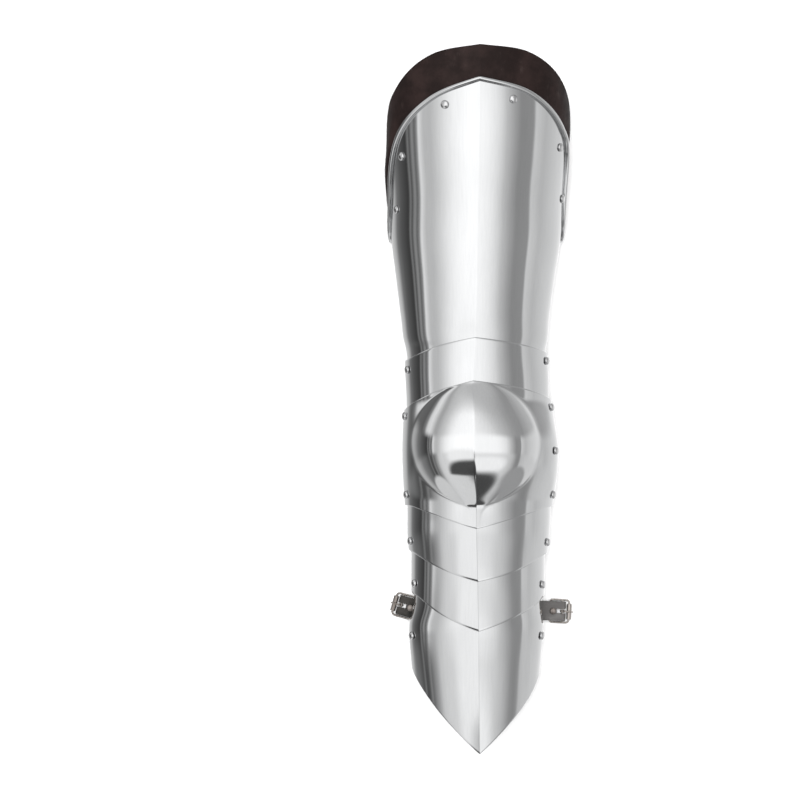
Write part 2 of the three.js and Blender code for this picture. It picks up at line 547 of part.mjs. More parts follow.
// A ring of wire in the shape of a rounded rectangle, in the plane z = 0
function frameSolid(left, right, halfY) {
  const corner = BUCKLE.corner;
  const steps = 3;
  const points = [];
  const corners = [
    [right - corner, halfY - corner, 0],
    [left + corner, halfY - corner, 90],
    [left + corner, corner - halfY, 180],
    [right - corner, corner - halfY, 270],
  ];
  for (const [x, y, start] of corners) {
    for (let i = 0; i <= steps; i += 1) {
      const angle = radians(start + (90 * i) / steps);
      points.push(new THREE.Vector3(x + corner * Math.cos(angle), y + corner * Math.sin(angle), 0));
    }
  }
  points.push(points[0].clone());
  const vertices = [];
  const triangles = [];
  const sides = 6;
  const count = points.length - 1;
  points.slice(0, count).forEach((point, i) => {
    const before = points[(i + count - 1) % count];
    const after = points[i + 1];
    const along = after.clone().sub(before).normalize();
    for (let k = 0; k < sides; k += 1) {
      const angle = (2 * Math.PI * k) / sides;
      const out = BUCKLE.wire * Math.cos(angle);
      vertices.push(point.x + along.y * out, point.y - along.x * out, BUCKLE.wire * Math.sin(angle));
      const next = (k + 1) % sides;
      const ahead = (i + 1) % count;
      triangles.push(i * sides + k, ahead * sides + k, ahead * sides + next);
      triangles.push(i * sides + k, ahead * sides + next, i * sides + next);
    }
  });
  return solid(geometryFrom(vertices, triangles));
}

const up = new THREE.Vector3(0, 0, 1);
const rod = (radius, length, sides) => new THREE.CylinderGeometry(radius, radius, length, sides);

for (const stub of STUBS) {
  const { path, barMiddle, inwards, topFace } = strapPath(stub);
  const holdHole = wallRivet(
    `${stub.name}_strap_hold`, "shin", stub.side, STRAP_HOLD.y, STRAP_HOLD.z, STRAP_HOLD.under,
  );
  const seat = barMiddle.clone().addScaledVector(inwards, FOLD.rivet).setZ(topFace + CLEAR);
  const slot = solid(
    new THREE.BoxGeometry(SLOT.length, SLOT.width, HOLE_DEPTH)
      .rotateZ(radians(stub.side * stub.turn))
      .translate(barMiddle.x, barMiddle.y, barMiddle.z),
  );
  const rivetHole = solid(
    aimed(rod(STRAP_RIVET.shank + HOLE_PLAY, 2 * HOLE_DEPTH, STRAP_RIVET.sides), up, seat),
  );
  const strap = stripSolid(path, STRAP, STRAP_WIDTH).subtract(slot).subtract(rivetHole).subtract(holdHole);
  addPiece(`${stub.name}_strap`, shown(strap), material.strap);
  const rivet = rivetGeometry(STRAP_RIVET, seat.z - FLOOR_GAP - 2 * CLEAR);
  addPiece(`${stub.name}_strap_rivet`, aimed(rivet, up, seat), material.brightSteel);

  // the buckle, drawn round its centre bar and turned in the plane of the strap
  const half = BUCKLE.width / 2 - BUCKLE.wire;
  const left = BUCKLE.reach - BUCKLE.length + 2 * BUCKLE.wire;
  const frame = frameSolid(left, BUCKLE.reach, half).add(solid(rod(BUCKLE.wire, 2 * half, 6)));
  const rollerLength = 2 * (half - BUCKLE.corner - ROLLER.endGap);
  const rollerBore = solid(rod(ROLLER.bore, 2 * rollerLength, 8));
  const roller = solid(rod(ROLLER.radius, rollerLength, 12)).subtract(rollerBore);
  const loop = solid(rod(PRONG.loop, PRONG.width, 10));
  const tongueLength = PRONG.end - PRONG.start;
  const tongue = boxSolid(tongueLength, PRONG.thick, PRONG.start + tongueLength / 2, PRONG.rise);
  const root = boxSolid(PRONG.width, PRONG.rise, PRONG.start + PRONG.width / 2, PRONG.rise / 2);
  const prong = loop.add(tongue).add(root).subtract(solid(rod(PRONG.bore, 2 * PRONG.loop + PRONG.width, 8)));
  const place = new THREE.Group();
  for (const [name, made, x] of [
    ["buckle_frame", frame, 0],
    ["buckle_roller", roller, BUCKLE.reach],
    ["buckle_prong", prong, 0],
  ]) {
    const mesh = addPiece(`${stub.name}_${name}`, shown(made), material.brightSteel);
    mesh.position.set(x, 0, 0);
    place.add(mesh);
  }
  place.position.copy(barMiddle);
  place.rotation.z = stub.side > 0 ? radians(stub.turn) : Math.PI - radians(stub.turn);
  harness.add(place);
}

// The plates last, with every rivet's hole cut through them
for (const [key, plate] of Object.entries(PLATES)) {
  let made = solid(plateGeometry(plate));
  if (key === "thigh") made = made.add(rimSolid());
  for (const hole of holes[key]) made = made.subtract(hole);
  addPiece(plate.name, shown(made), material.steel);
}
let tab = solid(plateGeometry(TAB));
for (const hole of holes.tab) tab = tab.subtract(hole);
addPiece(TAB.name, shown(tab), material.leather);

// The origin is the middle of the footprint, on the surface that the harness lies on
const bounds = new THREE.Box3().setFromObject(harness);
harness.position.set(-(bounds.min.x + bounds.max.x) / 2, -(bounds.min.y + bounds.max.y) / 2, -bounds.min.z);
const root = new THREE.Group();
root.add(harness);

export default root;
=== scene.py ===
"""A plate leg harness for one leg on a pale studio floor, seen from straight above as in the photograph.

Metres in the scene, millimetres in the tables. +Z is the front of the leg, +Y the thigh end and +X the outer
side. While the plates are drawn, y is 0 at the middle of the knee and x is 0 beside the ridge; place() moves
them to the frame's origin.
"""

import json
import math

import bpy
import numpy as np
from mathutils import Matrix, Vector

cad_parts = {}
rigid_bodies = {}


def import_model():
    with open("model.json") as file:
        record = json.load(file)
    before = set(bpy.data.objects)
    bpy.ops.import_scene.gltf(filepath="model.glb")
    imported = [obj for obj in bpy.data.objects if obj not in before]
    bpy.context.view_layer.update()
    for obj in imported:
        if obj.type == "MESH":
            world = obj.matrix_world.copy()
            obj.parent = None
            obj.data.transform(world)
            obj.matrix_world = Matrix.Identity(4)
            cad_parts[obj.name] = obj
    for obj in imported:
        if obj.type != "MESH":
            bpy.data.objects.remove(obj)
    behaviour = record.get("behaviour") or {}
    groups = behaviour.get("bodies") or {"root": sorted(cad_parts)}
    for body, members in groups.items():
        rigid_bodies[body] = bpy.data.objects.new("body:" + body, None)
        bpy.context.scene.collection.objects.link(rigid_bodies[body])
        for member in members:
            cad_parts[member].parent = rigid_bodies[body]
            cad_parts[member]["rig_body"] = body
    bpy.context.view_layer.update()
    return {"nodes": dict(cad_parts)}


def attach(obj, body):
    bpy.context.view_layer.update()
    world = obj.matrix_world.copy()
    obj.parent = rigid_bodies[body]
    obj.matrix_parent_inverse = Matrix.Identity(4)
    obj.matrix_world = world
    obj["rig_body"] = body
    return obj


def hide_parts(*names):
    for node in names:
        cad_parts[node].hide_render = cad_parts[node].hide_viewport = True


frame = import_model()

MM = 0.001
ORIGIN = np.array([-4.585, -47.0, 0.0])  # from the drawing's origin to the frame's, mm

# Driving dimensions, mm
STEEL = 1.2
CLEAR = 0.3
LEATHER = 2.4
STRAP = 2.0
STRAP_WIDTH = 18.6
STRAP_GAP = 0.8
TAB_INSET = 2
RIM_RADIUS = 2.3
RIM_STAND = 1.3
RIM_SHARE = 0.96  # of the edge, where the rolled rim ends
PIVOT_Z = 36
SHIN_PIVOT_Z = 34
FLOOR_GAP = 0.1
ARC_SHARE = 0.8
FULLNESS = 2.2
FLANK = 17  # height of a side wall, by which the lip along its rear edge is allowed for
TUCK = 1.5
LEAN = 0.4
PIVOT_PLAY = 0.4
RIDGE_ROUND = 0.004  # share of a half width over which a ridge is rounded
RIVET = {"head": 4, "rise": 2.4, "shank": 1.5, "tail": 3, "tail_rise": 1}
HEAD_FOOT = 0.96  # a rivet head's foot, as a share of its radius
HEAD_RIM = 0.12  # height of a head's upright rim, as a share of its rise
DOME_STEPS = 9
STRAP_RIVET = {"head": 3.3, "rise": 1.8, "shank": 1.1, "tail": 1.3, "tail_rise": 0.1}
# The buckle's outer length and width; its reach is from the centre bar to the roller's middle
BUCKLE = {"wire": 0.9, "length": 20.8, "width": 23.6, "corner": 3, "bar_z": 3.3, "reach": 6.4}
ROLLER = {"radius": 2.4, "bore": 1.3, "end_gap": 0.4}
PRONG = {"loop": 2.2, "bore": 1.25, "width": 2.4, "thick": 1.4, "rise": 3.4}
# The prong's tongue from its loop to its tip: how far out, how far under its top, share of the thickness
TONGUE = [(0.6, 1.2, 1), (1.3, 0.3, 1), (2.4, 0, 1), (9.2, 0, 0.85), (10.3, 0.2, 0.45)]
SLOT = {"length": 11.4, "width": 4.4}
FOLD = {"back": 12.2, "rivet": 9.2, "steps": 10}

# Sections from the thigh end to the shin end: y, inner and outer flank, ridge x and z, flank z, rear z, keel
COLUMNS = ("y", "inner", "outer", "ridge_x", "ridge_z", "flank_z", "rear_z", "keel")
SECTIONS = {
    "thigh": [
        (392, 85.2, 91.2, 2.2, 97.5, 17, 0, 13),
        (311, 86, 91, 1.4, 94.5, 17, 0, 13),
        (280, 84.2, 88.4, 1, 92.5, 17, 0, 13),
        (242, 81.2, 84.4, 0.4, 90, 17, 0, 13),
        (203, 80.1, 82, -0.1, 87, 17, 0, 13),
        (165, 75.6, 76.2, -0.6, 83.3, 18, 0, 12),
        (126, 70.8, 70.9, -1.3, 79, 20, 0, 11),
        (108, 68.6, 69.6, -1.9, 76.6, 20, 0.4, 10),
        (96, 65.8, 67.4, -2.3, 75.2, 20, 1.5, 10),
        (66, 64.2, 67.4, -3.1, 73.2, 20, 4, 9),
    ],
    "upper_lame": [
        (112, 67.6, 69.6, -1.8, 79.2, 20, 3, 10),
        (90, 67.4, 69.7, -2.6, 77.6, 20, 1, 10),
        (72, 66.9, 70.6, -3.6, 76.4, 20, 0, 10),
        (52, 65.8, 70.7, -3.9, 75.2, 20, 0, 10),
        (26, 65.2, 71, -3.9, 73.6, 20, 2, 9),
    ],
    "knee": [
        (70, 67.2, 73, -3.8, 78.6, 20, 2, 11),
        (49, 67.4, 73.4, -3.9, 79.6, 20, 1, 11),
        (34, 68.6, 75.3, -3.9, 80.2, 20, 0, 11),
        (3, 69.8, 79.2, -3.5, 80.6, 20, 0, 11),
        (-20, 69.3, 78.7, -2.2, 80.2, 20, 0, 11),
        (-51, 67.4, 74.6, -0.8, 78.6, 20, 1, 11),
        (-74, 66.4, 72.6, -0.8, 76.6, 20, 2, 10),
    ],
    "lower_lame_1": [
        (-30, 64.6, 71.8, -0.9, 73.8, 19, 3, 9),
        (-62, 64.8, 72.2, -0.7, 74, 19, 0, 10),
        (-78, 64.8, 71.5, -0.4, 74, 19, 0, 10),
        (-105, 62.9, 69, 0.3, 73, 19, 1, 10),
        (-126, 62.2, 68.4, 0.9, 71.6, 19, 3, 10),
    ],
    "lower_lame_2": [
        (-74, 60.5, 66.8, -0.4, 70.4, 19, 3, 9),
        (-104, 61, 66.7, 0.3, 70.2, 19, 0, 10),
        (-128, 61.1, 66.4, 0.9, 69.4, 19, 0, 10),
        (-150, 61.2, 66, 1.3, 68.2, 19, 3, 10),
        (-172, 61.6, 66, 1.7, 66.6, 19, 6, 10),
    ],
    "shin": [
        (-114, 58.6, 64.2, 0.5, 66, 18, 7.5, 9),
        (-146, 59.2, 64, 1.2, 65.4, 18, 8, 10),
        (-164, 62.8, 65.6, 1.6, 64.6, 18, 7.4, 10),
        (-177, 63, 65.2, 1.8, 64, 17, 0, 10),
        (-202, 61, 63, 2.1, 62.6, 16, 0, 10),
        (-240, 57.2, 60.6, 2.6, 59.4, 14, 0, 10),
        (-288, 52, 55.4, 3.2, 54, 12, 0, 9),
    ],
}

# Where a plate's ends lie along the leg, from the ridge down to the rear edge, for the inner and outer half
EDGE_STOPS = [ARC_SHARE * degrees / 90 for degrees in (0, 30, 60, 75, 90)] + [1]
EDGES = {
    "thigh": {
        "head": ([347, 329, 294, 261, 217, 200], [347, 335, 306, 283, 217, 200]),
        "foot": ([85, 84, 76, 71, 71, 73], [85, 86, 83, 79, 79, 81]),
    },
    "upper_lame": {
        "head": ([108, 100.5, 91, 88, 87, 82], [108, 103, 97.5, 95, 92, 84]),
        "foot": ([42, 40, 30, 27, 27, 30], [42, 42, 38, 35, 35, 38]),
    },
    "knee": {
        "head": ([67.5, 58, 47, 42, 39, 34], [67.5, 62, 54.5, 51, 49, 44]),
        "foot": ([-71, -60, -52, -51, -51, -48], [-71, -60.5, -53, -52, -51, -48]),
    },
    "lower_lame_1": {
        "head": ([-43, -42, -35, -33, -33, -36], [-43, -42, -35, -33, -33, -36]),
        "foot": ([-121, -110, -98, -95, -93, -89], [-121, -112, -100, -97, -95, -90]),
    },
    "lower_lame_2": {
        "head": ([-87, -85, -79, -77, -77, -80], [-87, -85, -80, -78, -78, -81]),
        "foot": ([-168, -154, -139, -136, -134, -129], [-168, -156, -144, -139, -135, -130]),
    },
    "shin": {
        "head": ([-128, -126, -120, -118, -118, -121], [-128, -126, -121, -119, -119, -122]),
        "foot": ([-285, -254, -225, -214, -206, -197], [-285, -256, -228, -216, -208, -199]),
    },
    "tab": {
        "head": ([379, 371, 345, 323, 262, 247], [379, 373.5, 351, 331, 294, 276]),
        "foot": ([317, 299, 264, 231, 192, 176], [317, 305, 276, 253, 192, 176]),
    },
}
FLARE = {"out": 2.5, "length": 35, "corner": 3.4, "corner_y": 265, "corner_length": 35}  # of the tab
DOME = {"x": -1, "y": 9, "half_x": 60, "half_y": 57, "rise": 18, "flatness": 3, "soft": 0.1}
BOXY = {"fullness": 0.8, "y": 3, "half_y": 50}  # the knee section is boxier between the dome's ends

# Pivot rivets: inner y, outer y, z, the plate outside and the plate under it
PIVOTS = {
    "thigh_pivot": (78.1, 86.7, PIVOT_Z, "upper_lame", "thigh"),
    "upper_knee_pivot": (34, 42.7, PIVOT_Z, "knee", "upper_lame"),
    "lower_knee_pivot": (-40.7, -40.7, PIVOT_Z, "knee", "lower_lame_1"),
    "lame_pivot": (-85, -86, SHIN_PIVOT_Z, "lower_lame_1", "lower_lame_2"),
    "shin_pivot": (-125.2, -126.2, SHIN_PIVOT_Z, "lower_lame_2", "shin"),
}
TAB_RIVETS = [(-30.4, 324), (33.1, 329), (-70.6, 279), (79.2, 288), (-75.3, 230), (82, 241)]
KNEE_SIDE_RIVET = {"y": 1.5, "z": 47}
STRAP_HOLD = {"y": -175.5, "z": 30, "under": 5.8}
# y and z inside the shin plate's wall and how far off it; then how far out under the edge, z and slope there
STRAP_INSIDE = [(-23, 38, 0.2), (-23, 30, 0.2), (-22, 22, 0), (-12, 14, 0.6), (-2, 9.6, 2.4)]
STRAP_BEND = [(0.5, 7.2, 0.9, 0.6), (2.4, 5.8, 0.35, 1)]
STRAP_STRAIGHT = 5
STUBS = {
    "outer": {"side": 1, "reach": 84.8, "edge_y": -153.5, "turn": -3},
    "inner": {"side": -1, "reach": 71, "edge_y": -152.5, "turn": 16},
}

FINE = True
PLATE_COLUMNS = 160 if FINE else 60
WIRE_SIDES = 14


# Surfaces of the plates

def smooth(stops, values, at):
    """A cubic curve through the values at rising stops, whose slopes follow the neighbouring points."""
    stops, values, at = (np.asarray(each, float) for each in (stops, values, at))
    chord = np.diff(values) / np.diff(stops)
    slope = np.concatenate([chord[:1], (chord[:-1] + chord[1:]) / 2, chord[-1:]])
    i = np.clip(np.searchsorted(stops, at) - 1, 0, len(stops) - 2)
    span = stops[i + 1] - stops[i]
    s = (at - stops[i]) / span
    h = s * s * (3 - 2 * s)
    bend = slope[i] * s * (1 - s) ** 2 + slope[i + 1] * s * s * (s - 1)
    return values[i] * (1 - h) + values[i + 1] * h + span * bend


def soft_part(value):
    """A value's positive part, with a soft bend at 0."""
    return (value + np.hypot(value, DOME["soft"])) / 2


def plate_points(key, turn, y, inset):
    """Points of a plate, mm: turn is -1 and 1 at the rear edges and 0 at the ridge, inset a depth below."""
    turn, y = np.broadcast_arrays(np.asarray(turn, float), np.asarray(y, float))
    table = np.array(SECTIONS[key], float)
    row = {name: smooth(-table[:, 0], table[:, k], -y) for k, name in enumerate(COLUMNS)}
    side = np.where(turn < 0, -1.0, 1.0)
    half = np.where(turn < 0, row["inner"] + row["ridge_x"], row["outer"] - row["ridge_x"]) - inset
    rise = row["ridge_z"] - row["flank_z"] - inset
    angle = np.minimum(np.abs(turn) / ARC_SHARE, 1) * math.pi / 2
    fullness = FULLNESS
    if key == "knee":
        near = np.maximum(0, 1 - ((y - BOXY["y"]) / BOXY["half_y"]) ** 2)
        fullness = FULLNESS + BOXY["fullness"] * near**2
    across = np.sin(angle) ** (2 / fullness)
    up = np.maximum(0, np.cos(angle)) ** (2 / fullness)
    tent = 1 + RIDGE_ROUND - np.sqrt(across**2 + RIDGE_ROUND**2)
    down = np.clip((np.abs(turn) - ARC_SHARE) / (1 - ARC_SHARE), 0, None)
    wall = down > 0
    x = row["ridge_x"] + side * (half * across - TUCK * down**2)
    z = row["flank_z"] + (rise - row["keel"]) * up + row["keel"] * (tent - RIDGE_ROUND * across)
    z = np.where(wall, row["flank_z"] + (np.maximum(0, row["rear_z"]) - row["flank_z"]) * down, z)
    if key == "knee":
        along = soft_part(1 - ((y - DOME["y"]) / DOME["half_y"]) ** 2)
        beside = ((x - DOME["x"]) / DOME["half_x"]) ** 2 / along
        lift = DOME["rise"] * along * soft_part(1 - np.minimum(4, beside) ** DOME["flatness"])
        z = z + np.where(wall, 0, lift)
    return np.stack([x, y, z], axis=-1)


def turn_at(key, side, y, axis, value):
    """The turn at which a plate's outer face reaches the given x or z on one side."""
    low, high = 0.0, (1.0 if axis == "z" else ARC_SHARE)
    for _ in range(40):
        middle = (low + high) / 2
        x, _, z = plate_points(key, side * middle, y, 0)
        beyond = z < value if axis == "z" else side * x > side * value
        low, high = (low, middle) if beyond else (middle, high)
    return side * (low + high) / 2


def plate_normal(key, turn, y):
    """The direction straight out of a plate's face."""
    along = plate_points(key, turn, y + 1, 0) - plate_points(key, turn, y - 1, 0)
    round_ = plate_points(key, turn + 0.01, y, 0) - plate_points(key, turn - 0.01, y, 0)
    normal = np.cross(along, round_)
    normal /= np.linalg.norm(normal)
    outwards = plate_points(key, turn, y, 0)
    return -normal if normal[0] * outwards[0] + normal[2] * outwards[2] < 0 else normal


def edge_at(edge, turn):
    """Where an end of a plate lies along the leg, mm, at each turn."""
    inner, outer = edge
    return np.where(
        turn < 0, smooth(EDGE_STOPS, inner, np.abs(turn)), smooth(EDGE_STOPS, outer, np.abs(turn))
    )


# Meshes: each builder gives vertices in mm and faces

def place(vertices):
    """Drawing millimetres as the frame's metres."""
    return (np.asarray(vertices, float) + ORIGIN) * MM


def add_piece(name, vertices, faces, material, slot_name, stands_for, smooth_below=180):
    """A piece that stands for a CAD node and rides on its body; edges past smooth_below degrees are sharp."""
    mesh = bpy.data.meshes.new(name)
    mesh.from_pydata(place(vertices).tolist(), [], [list(map(int, face)) for face in faces])
    mesh.validate()
    mesh.shade_smooth()
    if smooth_below < 180:
        mesh.set_sharp_from_angle(angle=math.radians(smooth_below))
    mesh.materials.append(material)
    piece = bpy.data.objects.new(name, mesh)
    bpy.context.scene.collection.objects.link(piece)
    node = frame["nodes"][stands_for]
    node.data.materials.clear()
    node.data.materials.append(material)
    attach(piece, node["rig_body"])
    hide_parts(stands_for)
    return piece


def joined(*parts):
    """Several (vertices, faces) pairs as one."""
    vertices, faces, start = [], [], 0
    for points, polygons in parts:
        vertices.append(np.asarray(points, float))
        faces.extend([start + index for index in polygon] for polygon in polygons)
        start += len(points)
    return np.concatenate(vertices), faces


def rounded_sheet(outer, inner, lip_steps=4):
    """A closed sheet between two grids of points, with a half round lip all the way round its border."""
    columns, rows = outer.shape[0], outer.shape[1]
    count = columns * rows
    ids = np.arange(count).reshape(columns, rows)
    a, b, c, d = ids[:-1, :-1], ids[1:, :-1], ids[1:, 1:], ids[:-1, 1:]
    top = np.stack([a, b, c, d], -1).reshape(-1, 4)
    bottom = np.stack([a, d, c, b], -1).reshape(-1, 4) + count
    border = np.concatenate([ids[:-1, 0], ids[-1, :-1], ids[:0:-1, -1], ids[0, :0:-1]])
    flat_outer, flat_inner = outer.reshape(-1, 3), inner.reshape(-1, 3)
    grid_i, grid_j = np.divmod(border, rows)
    step_i = np.where(grid_i == 0, -1, np.where(grid_i == columns - 1, 1, 0))
    step_j = np.where(grid_j == 0, -1, np.where(grid_j == rows - 1, 1, 0))
    out = np.zeros((len(border), 3))
    for step, grid in ((step_i, (1, 0)), (step_j, (0, 1))):
        back_i = np.clip(grid_i - step * grid[0], 0, columns - 1)
        back_j = np.clip(grid_j - step * grid[1], 0, rows - 1)
        leg = flat_outer[border] - outer[back_i, back_j]
        length = np.linalg.norm(leg, axis=1, keepdims=True)
        out += np.where(length > 1e-9, leg / np.maximum(length, 1e-9), 0)
    across = flat_outer[border] - flat_inner[border]
    thick = np.linalg.norm(across, axis=1, keepdims=True)
    unit = across / thick
    out -= (out * unit).sum(1, keepdims=True) * unit
    out /= np.maximum(np.linalg.norm(out, axis=1, keepdims=True), 1e-9)
    middle = (flat_outer[border] + flat_inner[border]) / 2
    lips = []
    for k in range(1, lip_steps):
        angle = math.pi * k / lip_steps
        lips.append(middle + across / 2 * math.cos(angle) + out * thick / 2 * math.sin(angle))
    vertices = np.concatenate([flat_outer, flat_inner, *lips])
    size = len(border)
    lip_rings = [2 * count + k * size + np.arange(size) for k in range(lip_steps - 1)]
    rings = [border, *lip_rings, border + count]
    strips = []
    for upper, lower in zip(rings, rings[1:]):
        strips.append(np.stack([upper, lower, np.roll(lower, -1), np.roll(upper, -1)], -1))
    return vertices, np.concatenate([top, bottom, *strips]).tolist()


def eased(value):
    """A soft step from 0 to 1."""
    share = np.clip(value, 0, 1)
    return share**2 * (3 - 2 * share)


def flare_at(turn, y):
    """How far the leather tab stands out towards its free edge."""
    beyond = eased((y - edge_at(EDGES["thigh"]["head"], turn)) / FLARE["length"])
    low = np.clip(-turn / ARC_SHARE, 0, 1) ** 4
    corner = FLARE["corner"] * low * (1 - eased((y - FLARE["corner_y"]) / FLARE["corner_length"]))
    return beyond * (FLARE["out"] + corner)


def plate_mesh(key, edges, rows, outer_inset=0.0, thickness=STEEL, flared=False):
    """A sheet that follows a plate's sections between its two ends, with more columns near the ridge."""
    u = np.linspace(-1, 1, PLATE_COLUMNS + 1)
    lip = thickness / 2
    turn = np.sign(u) * np.abs(u) ** 1.5
    turn = turn * (1 - lip * (1 - ARC_SHARE) / FLANK)
    head = edge_at(edges["head"], turn) - lip
    foot = edge_at(edges["foot"], turn) + lip
    v = np.linspace(0, 1, rows + 1)
    y = foot[:, None] + (head - foot)[:, None] * v[None, :]
    turns = np.broadcast_to(turn[:, None], y.shape)
    inset = outer_inset - (flare_at(turns, y) if flared else 0)
    outer = plate_points(key, turns, y, inset)
    inner = plate_points(key, turns, y, inset + thickness)
    return rounded_sheet(outer, inner)


def tube_mesh(points, radius, sides, closed=False, tapers=None):
    """A round tube along points, mm, with flat caps unless it is closed."""
    points = np.asarray(points, float)
    count = len(points)
    if closed:
        along = np.roll(points, -1, 0) - np.roll(points, 1, 0)
    else:
        along = np.gradient(points, axis=0)
    along /= np.linalg.norm(along, axis=1, keepdims=True)
    side = np.cross(along[0], [0.0, 0.0, 1.0])
    if np.linalg.norm(side) < 1e-3:
        side = np.cross(along[0], [0.0, 1.0, 0.0])
    vertices = []
    for k in range(count):
        side = side - along[k] * side.dot(along[k])
        side /= np.linalg.norm(side)
        other = np.cross(along[k], side)
        size = radius * (1 if tapers is None else tapers[k])
        for s in range(sides):
            angle = 2 * math.pi * s / sides
            vertices.append(points[k] + size * (math.cos(angle) * side + math.sin(angle) * other))
    faces = []
    for k in range(count if closed else count - 1):
        ahead = (k + 1) % count
        for s in range(sides):
            t = (s + 1) % sides
            faces.append([k * sides + s, k * sides + t, ahead * sides + t, ahead * sides + s])
    if not closed:
        faces.append(list(range(sides))[::-1])
        faces.append([(count - 1) * sides + s for s in range(sides)])
    return np.array(vertices), faces


def lathe_mesh(profile, sides):
    """A solid of revolution about +Y from (radius, y) pairs that start and end on the axis."""
    vertices, rings = [], []
    for r, y in profile:
        if r < 1e-9:
            rings.append([len(vertices)])
            vertices.append([0, y, 0])
        else:
            rings.append(list(range(len(vertices), len(vertices) + sides)))
            for s in range(sides):
                angle = 2 * math.pi * s / sides
                vertices.append([r * math.cos(angle), y, r * math.sin(angle)])
    faces = []
    for low, high in zip(rings, rings[1:]):
        for s in range(sides):
            t = (s + 1) % sides
            if len(low) == 1:
                faces.append([low[0], high[s], high[t]])
            elif len(high) == 1:
                faces.append([low[s], high[0], low[t]])
            else:
                faces.append([low[s], high[s], high[t], low[t]])
    return np.array(vertices, float), faces


def aimed(mesh, direction, seat):
    """Turns a mesh that was made along +Y so that it runs along a direction, then moves it, mm."""
    vertices, faces = mesh
    turn = Vector((0, 1, 0)).rotation_difference(Vector(direction)).to_matrix()
    return vertices @ np.array(turn).T + np.asarray(seat, float), faces


def rivet_mesh(size, grip, sides=28):
    """A domed rivet along +Y whose head stands on y = 0 and whose tail closes under the grip."""
    profile = [(0, -grip - size["tail_rise"])]
    for k in range(1, 5):
        angle = math.pi / 2 * k / 4
        profile.append((size["tail"] * math.sin(angle), -grip - size["tail_rise"] * math.cos(angle)))
    profile += [(size["shank"], -grip), (size["shank"], 0), (size["head"] * HEAD_FOOT, 0)]
    for k in range(DOME_STEPS + 1):
        angle = math.pi / 2 * k / DOME_STEPS
        up = size["rise"] * (HEAD_RIM + (1 - HEAD_RIM) * math.sin(angle))
        profile.append((size["head"] * math.cos(angle), up))
    profile[-1] = (0, size["rise"])
    return lathe_mesh(profile, sides if FINE else 12)


# Materials

class Graph:
    """Short ways to add and join shader nodes."""

    def __init__(self, tree):
        self.tree = tree
        tree.nodes.clear()

    def node(self, kind, **values):
        made = self.tree.nodes.new(kind)
        for name, value in values.items():
            setattr(made, name, value)
        return made

    def join(self, source, socket):
        self.tree.links.new(source, socket)

    def put(self, socket, value):
        if isinstance(value, bpy.types.NodeSocket):
            self.join(value, socket)
        else:
            socket.default_value = value

    def math(self, operation, first, second=0.0):
        made = self.node("ShaderNodeMath", operation=operation)
        self.put(made.inputs[0], first)
        self.put(made.inputs[1], second)
        return made.outputs[0]

    def ease(self, value, start, end, low=0.0, high=1.0):
        """low before start, high after end, and a soft step between them."""
        made = self.node("ShaderNodeMapRange", interpolation_type="SMOOTHSTEP")
        for socket, number in zip(made.inputs, (value, start, end, low, high)):
            self.put(socket, number)
        return made.outputs[0]

    def spread(self, value, start, end, low, high):
        made = self.node("ShaderNodeMapRange")
        for socket, number in zip(made.inputs, (value, start, end, low, high)):
            self.put(socket, number)
        return made.outputs[0]

    def noise(self, vector, scale, detail=2.0, roughness=0.5):
        made = self.node("ShaderNodeTexNoise")
        self.join(vector, made.inputs["Vector"])
        made.inputs["Scale"].default_value = scale
        made.inputs["Detail"].default_value = detail
        made.inputs["Roughness"].default_value = roughness
        return made.outputs["Fac"]

    def scaled(self, vector, scale):
        made = self.node("ShaderNodeMapping")
        self.join(vector, made.inputs["Vector"])
        made.inputs["Scale"].default_value = scale
        return made.outputs["Vector"]

    def tint(self, factor, first, second):
        made = self.node("ShaderNodeMix", data_type="RGBA")
        self.put(made.inputs[0], factor)
        self.put(made.inputs[6], (*first, 1) if isinstance(first, tuple) else first)
        self.put(made.inputs[7], (*second, 1) if isinstance(second, tuple) else second)
        return made.outputs[2]

    def bump(self, height, strength, distance, normal=None):
        made = self.node("ShaderNodeBump")
        self.join(height, made.inputs["Height"])
        made.inputs["Strength"].default_value = strength
        made.inputs["Distance"].default_value = distance
        if normal is not None:
            self.join(normal, made.inputs["Normal"])
        return made.outputs["Normal"]


def new_material(name):
    """A node material with its graph, its shader and the object coordinates."""
    material = bpy.data.materials.new(name)
    material.use_nodes = True
    graph = Graph(material.node_tree)
    shader = graph.node("ShaderNodeBsdfPrincipled")
    graph.join(shader.outputs[0], graph.node("ShaderNodeOutputMaterial").inputs[0])
    where = graph.node("ShaderNodeTexCoord").outputs["Object"]
    return material, graph, shader, where


